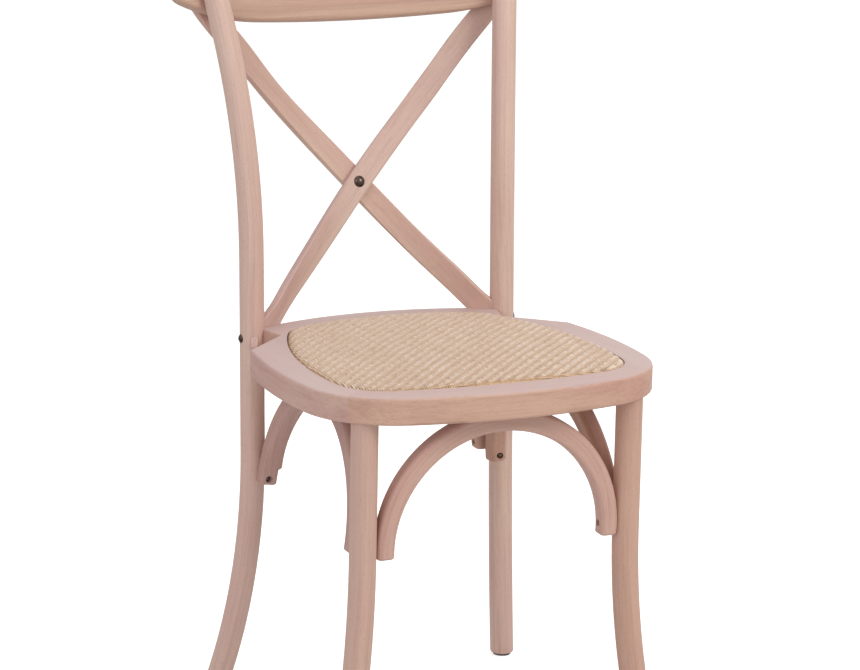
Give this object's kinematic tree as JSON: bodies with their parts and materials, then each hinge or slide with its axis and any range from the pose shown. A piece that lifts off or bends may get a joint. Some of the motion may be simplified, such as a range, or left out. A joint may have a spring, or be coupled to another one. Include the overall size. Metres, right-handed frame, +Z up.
{
  "type": "dining chair",
  "caption": "Cross back dining chair in pale bent wood with a woven rattan seat and bent arches between the legs.",
  "frame": {"origin": "on the floor, under the middle of the chair's bounding box", "axes": "+Z up, -Y to the front, +X to the right seen from the front"},
  "size_m": [0.496, 0.5226, 0.8846],
  "materials": {
    "beech": "raw sanded, matte",
    "plywood": "raw",
    "rattan": "woven split cane",
    "dark_metal": "satin dark bronze",
    "zinc_steel": "zinc plated",
    "grey_plastic": "matte"
  },
  "bodies": {
    "root": {"arch_crown_screws": "zinc_steel", "arch_end_screws": "zinc_steel", "board_screws": "zinc_steel", "crest_rail": "beech", "crest_screws": "dark_metal", "cross_bolt": "dark_metal", "cross_cap_nut": "dark_metal", "cross_slat_front": "beech", "cross_slat_rear": "beech", "foot_glides": "grey_plastic", "front_arch": "beech", "front_leg_left": "beech", "front_leg_right": "beech", "glide_nails": "zinc_steel", "left_side_arch": "beech", "post_barrel_nuts": "zinc_steel", "post_bolts": "dark_metal", "rattan_pad": "rattan", "rear_arch": "beech", "rear_post_left": "beech", "rear_post_right": "beech", "right_side_arch": "beech", "seat_board": "plywood", "seat_dowels": "beech", "seat_front_rail": "beech", "seat_left_rail": "beech", "seat_rear_rail": "beech", "seat_right_rail": "beech", "slat_screws": "dark_metal"}
  },
  "joints": []
}
